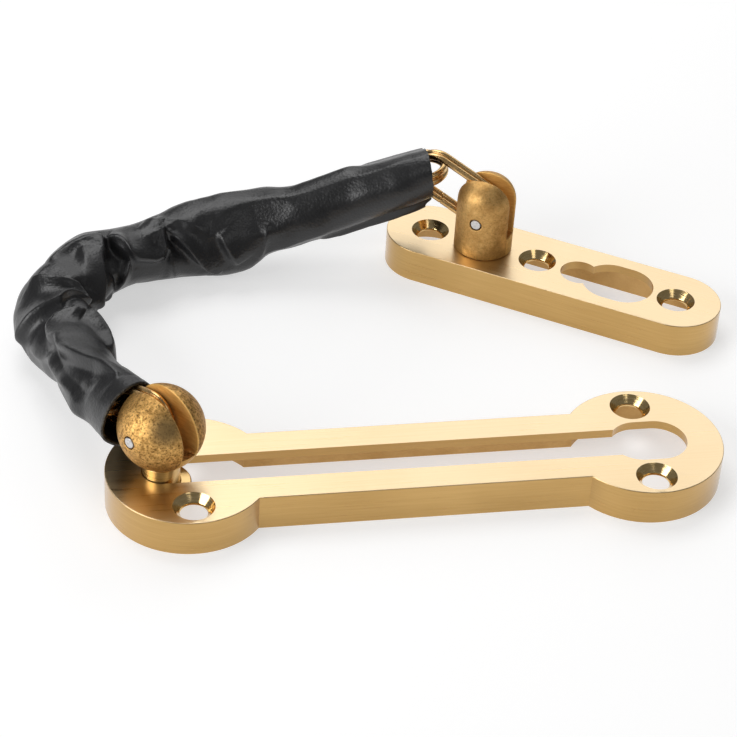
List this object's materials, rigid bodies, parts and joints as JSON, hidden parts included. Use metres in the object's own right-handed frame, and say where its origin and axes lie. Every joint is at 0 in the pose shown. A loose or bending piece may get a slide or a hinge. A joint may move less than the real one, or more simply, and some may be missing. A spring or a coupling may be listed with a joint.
{
  "type": "door chain guard",
  "caption": "Door chain guard with a slotted track plate, a ball slider, a doubled wire chain in a leather sleeve and an anchor plate with a parking slot",
  "frame": {"origin": "centre of the whole object's box in plan, on the plane that the backs of both plates rest on", "axes": "+X along the track plate's slot from the locked end to the keyhole, +Z out of the plates' faces, away from the door, +Y from the track plate towards the anchor plate"},
  "size_m": [0.1322, 0.092, 0.0252],
  "materials": {
    "track_plate": "satin brushed brass",
    "anchor_plate": "satin brushed brass",
    "slider_foot": "turned bright brass",
    "ball": "antique brass, mottled",
    "post": "antique brass",
    "ball_pin": "plain steel",
    "post_pin": "plain steel",
    "link_wire": "drawn brass wire",
    "sleeve_leather": "smooth black leather"
  },
  "bodies": {
    "track_plate": {"track_plate": "track_plate"},
    "foot": {"slider_foot": "slider_foot"},
    "ball": {"ball": "ball", "ball_pin": "ball_pin"},
    "link_01": {"link_01_a": "link_wire", "link_01_b": "link_wire", "sleeve_01": "sleeve_leather"},
    "link_02": {"link_02_a": "link_wire", "link_02_b": "link_wire", "sleeve_02": "sleeve_leather"},
    "link_03": {"link_03_a": "link_wire", "link_03_b": "link_wire", "sleeve_03": "sleeve_leather"},
    "link_04": {"link_04_a": "link_wire", "link_04_b": "link_wire", "sleeve_04": "sleeve_leather"},
    "link_05": {"link_05_a": "link_wire", "link_05_b": "link_wire", "sleeve_05": "sleeve_leather"},
    "link_06": {"link_06_a": "link_wire", "link_06_b": "link_wire", "sleeve_06": "sleeve_leather"},
    "link_07": {"link_07_a": "link_wire", "link_07_b": "link_wire", "sleeve_07": "sleeve_leather"},
    "link_08": {"link_08_a": "link_wire", "link_08_b": "link_wire", "sleeve_08": "sleeve_leather"},
    "link_09": {"link_09_a": "link_wire", "link_09_b": "link_wire", "sleeve_09": "sleeve_leather"},
    "link_10": {"link_10_a": "link_wire", "link_10_b": "link_wire", "sleeve_10": "sleeve_leather"},
    "link_11": {"link_11_a": "link_wire", "link_11_b": "link_wire"},
    "anchor": {"anchor_plate": "anchor_plate", "post": "post", "post_pin": "post_pin"}
  },
  "joints": [
    {"name": "foot_slide", "type": "slide", "parent": "track_plate", "child": "foot", "axis": [1, 0, 0], "range_m": [0, 0.087]},
    {"name": "ball_turn", "type": "hinge", "parent": "foot", "child": "ball", "pos_m": [-0.04533, -0.0316, 0.0164], "axis": [0, 0, 1], "range_deg": [-5, 180]},
    {"name": "chain_lift", "type": "hinge", "parent": "ball", "child": "link_01", "pos_m": [-0.04533, -0.0316, 0.017], "axis": [0.7986, 0.6018, 0], "range_deg": [0, 80]},
    {"name": "link_02_swing", "type": "hinge", "parent": "link_01", "child": "link_02", "pos_m": [-0.05481, -0.01903, 0.01337], "axis": [0.0087, -0.0104, 0.9999], "range_deg": [-1, 28.2], "deforming": ["sleeve_01", "sleeve_02"]},
    {"name": "link_03_swing", "type": "hinge", "parent": "link_02", "child": "link_03", "pos_m": [-0.0562, -0.01003, 0.01127], "axis": [0.0087, -0.0104, 0.9999], "range_deg": [-1.9, 0.2], "deforming": ["sleeve_03"]},
    {"name": "link_04_swing", "type": "hinge", "parent": "link_03", "child": "link_04", "pos_m": [-0.05947, 0.00738, 0.00756], "axis": [0.0087, -0.0104, 0.9999], "range_deg": [-0.4, 8.2], "deforming": ["sleeve_04"]},
    {"name": "link_05_swing", "type": "hinge", "parent": "link_04", "child": "link_05", "pos_m": [-0.05988, 0.01667, 0.00673], "axis": [0.0087, -0.0104, 0.9999], "range_deg": [-1.4, 35.8], "deforming": ["sleeve_05"]},
    {"name": "link_06_swing", "type": "hinge", "parent": "link_05", "child": "link_06", "pos_m": [-0.05001, 0.03185, 0.00648], "axis": [0.0087, -0.0104, 0.9999], "range_deg": [-1.4, 36.3], "deforming": ["sleeve_06"]},
    {"name": "link_07_swing", "type": "hinge", "parent": "link_06", "child": "link_07", "pos_m": [-0.04129, 0.03518, 0.00662], "axis": [0.0087, -0.0104, 0.9999], "range_deg": [-1, 13.6], "deforming": ["sleeve_07"]},
    {"name": "link_08_swing", "type": "hinge", "parent": "link_07", "child": "link_08", "pos_m": [-0.02346, 0.03745, 0.00871], "axis": [0.0087, -0.0104, 0.9999], "range_deg": [-0.6, 5.9], "deforming": ["sleeve_08"]},
    {"name": "link_09_swing", "type": "hinge", "parent": "link_08", "child": "link_09", "pos_m": [-0.01446, 0.0377, 0.0112], "axis": [0.0087, -0.0104, 0.9999], "range_deg": [-0.3, 1.9], "deforming": ["sleeve_09"]},
    {"name": "link_10_swing", "type": "hinge", "parent": "link_09", "child": "link_10", "pos_m": [0.00236, 0.03766, 0.01787], "axis": [0.0087, -0.0104, 0.9999], "range_deg": [-11.3, 1], "deforming": ["sleeve_10"]},
    {"name": "link_11_swing", "type": "hinge", "parent": "link_10", "child": "link_11", "pos_m": [0.01139, 0.03941, 0.01951], "axis": [0.0087, -0.0104, 0.9999], "range_deg": [-3.4, 43.9]},
    {"name": "anchor_tilt", "type": "hinge", "parent": "link_11", "child": "anchor", "pos_m": [0.02389, 0.03136, 0.0147], "axis": [-0.5417, -0.8406, 0], "range_deg": [0, 110]}
  ],
  "couplings": [
    {"joint": "link_03_swing", "follows": "link_02_swing", "ratio": -0.0631},
    {"joint": "link_04_swing", "follows": "link_02_swing", "ratio": 0.2863},
    {"joint": "link_05_swing", "follows": "link_02_swing", "ratio": 1.2629},
    {"joint": "link_06_swing", "follows": "link_02_swing", "ratio": 1.2808},
    {"joint": "link_08_swing", "follows": "link_07_swing", "ratio": 0.4197},
    {"joint": "link_09_swing", "follows": "link_07_swing", "ratio": 0.1261},
    {"joint": "link_10_swing", "follows": "link_07_swing", "ratio": -0.8219},
    {"joint": "link_11_swing", "follows": "link_07_swing", "ratio": 3.2197}
  ]
}
